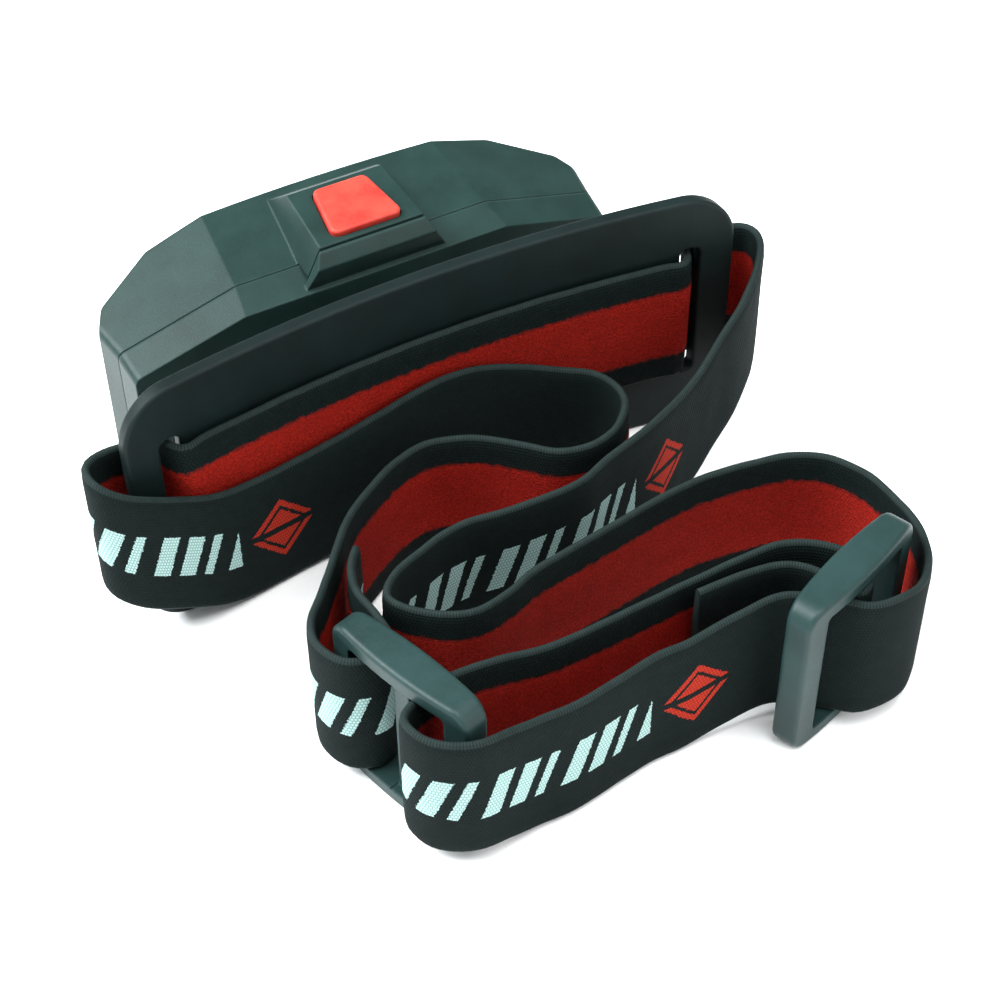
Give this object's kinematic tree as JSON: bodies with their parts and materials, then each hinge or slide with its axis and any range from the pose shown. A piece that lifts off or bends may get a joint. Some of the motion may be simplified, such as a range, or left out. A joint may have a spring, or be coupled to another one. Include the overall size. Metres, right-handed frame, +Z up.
{
  "type": "headlamp",
  "caption": "Light-bar headlamp: faceted case on a bowed forehead plate, top push button, folded elastic head strap with two three-bar adjusters.",
  "frame": {"origin": "middle of the forehead plate's lower edge, on the surface the lamp stands on", "axes": "+Z up, +Y the way the lamp shines, +X along the light bar"},
  "size_m": [0.1233, 0.1214, 0.048],
  "materials": {
    "case_black": "fine spark texture",
    "plate_black": "satin",
    "buckle_plastic": "satin",
    "webbing": "woven elastic, black with a brushed red lining stripe",
    "button_red": "matt silicone",
    "seal_rubber": "matt",
    "lens_clear": "clear, polished polycarbonate",
    "reflector_white": "glossy white",
    "pin_steel": "drawn",
    "washer_nylon": "satin",
    "board_green": "satin solder mask",
    "board_white": "satin solder mask",
    "led_yellow": "gel over the diodes",
    "tray_black": "satin",
    "cell_wrap": "wrapped cell",
    "contact_nickel": "nickel plated",
    "screw_steel": "zinc plated",
    "switch_black": "satin",
    "lead_red": "silicone sleeve",
    "lead_black": "silicone sleeve"
  },
  "bodies": {
    "headband": {"bracket_plate": "plate_black", "tilt_pin": "pin_steel", "tilt_washers": "washer_nylon", "strap_tail_b": "webbing", "strap_rear_pass": "webbing", "strap_front_pass": "webbing", "strap_right_loop": "webbing", "strap_fourth_pass": "webbing", "strap_third_pass": "webbing", "strap_right_end": "webbing", "strap_forehead": "webbing", "strap_left_end": "webbing", "strap_first_pass": "webbing", "strap_second_pass": "webbing", "strap_tail_a": "webbing", "buckle_a": "buckle_plastic", "buckle_b": "buckle_plastic"},
    "rear_case": {"rear_shell": "case_black", "case_pin": "pin_steel"},
    "lamp_front": {"front_shell": "case_black", "case_seal": "seal_rubber", "switch_body": "switch_black", "switch_board": "board_green", "lens": "lens_clear", "lens_seal": "seal_rubber", "reflector": "reflector_white", "led_board": "board_white", "led_strip": "led_yellow", "driver_board": "board_green", "battery_tray": "tray_black", "cell_1": "cell_wrap", "cell_2": "cell_wrap", "cell_3": "cell_wrap", "cell_springs": "contact_nickel", "contact_plates": "contact_nickel", "tray_screws": "screw_steel", "lead_red": "lead_red", "lead_black": "lead_black"},
    "button": {"power_button": "button_red"},
    "plunger": {"switch_plunger": "switch_black"}
  },
  "joints": [
    {"name": "lamp_tilt", "type": "hinge", "parent": "headband", "child": "rear_case", "pos_m": [0, 0.0095, 0.006], "axis": [-1, 0, 0], "range_deg": [0, 45]},
    {"name": "case_open", "type": "hinge", "parent": "rear_case", "child": "lamp_front", "pos_m": [0, 0.023, 0.0022], "axis": [-1, 0, 0], "range_deg": [0, 70]},
    {"name": "button_press", "type": "slide", "parent": "lamp_front", "child": "button", "axis": [0, 0.0995, -0.995], "range_m": [0, 0.0009], "stiffness_N_per_m": 600},
    {"name": "plunger_press", "type": "slide", "parent": "lamp_front", "child": "plunger", "axis": [0, 0.0995, -0.995], "range_m": [0, 0.0009]}
  ],
  "couplings": [
    {"joint": "plunger_press", "follows": "button_press", "ratio": 1}
  ]
}
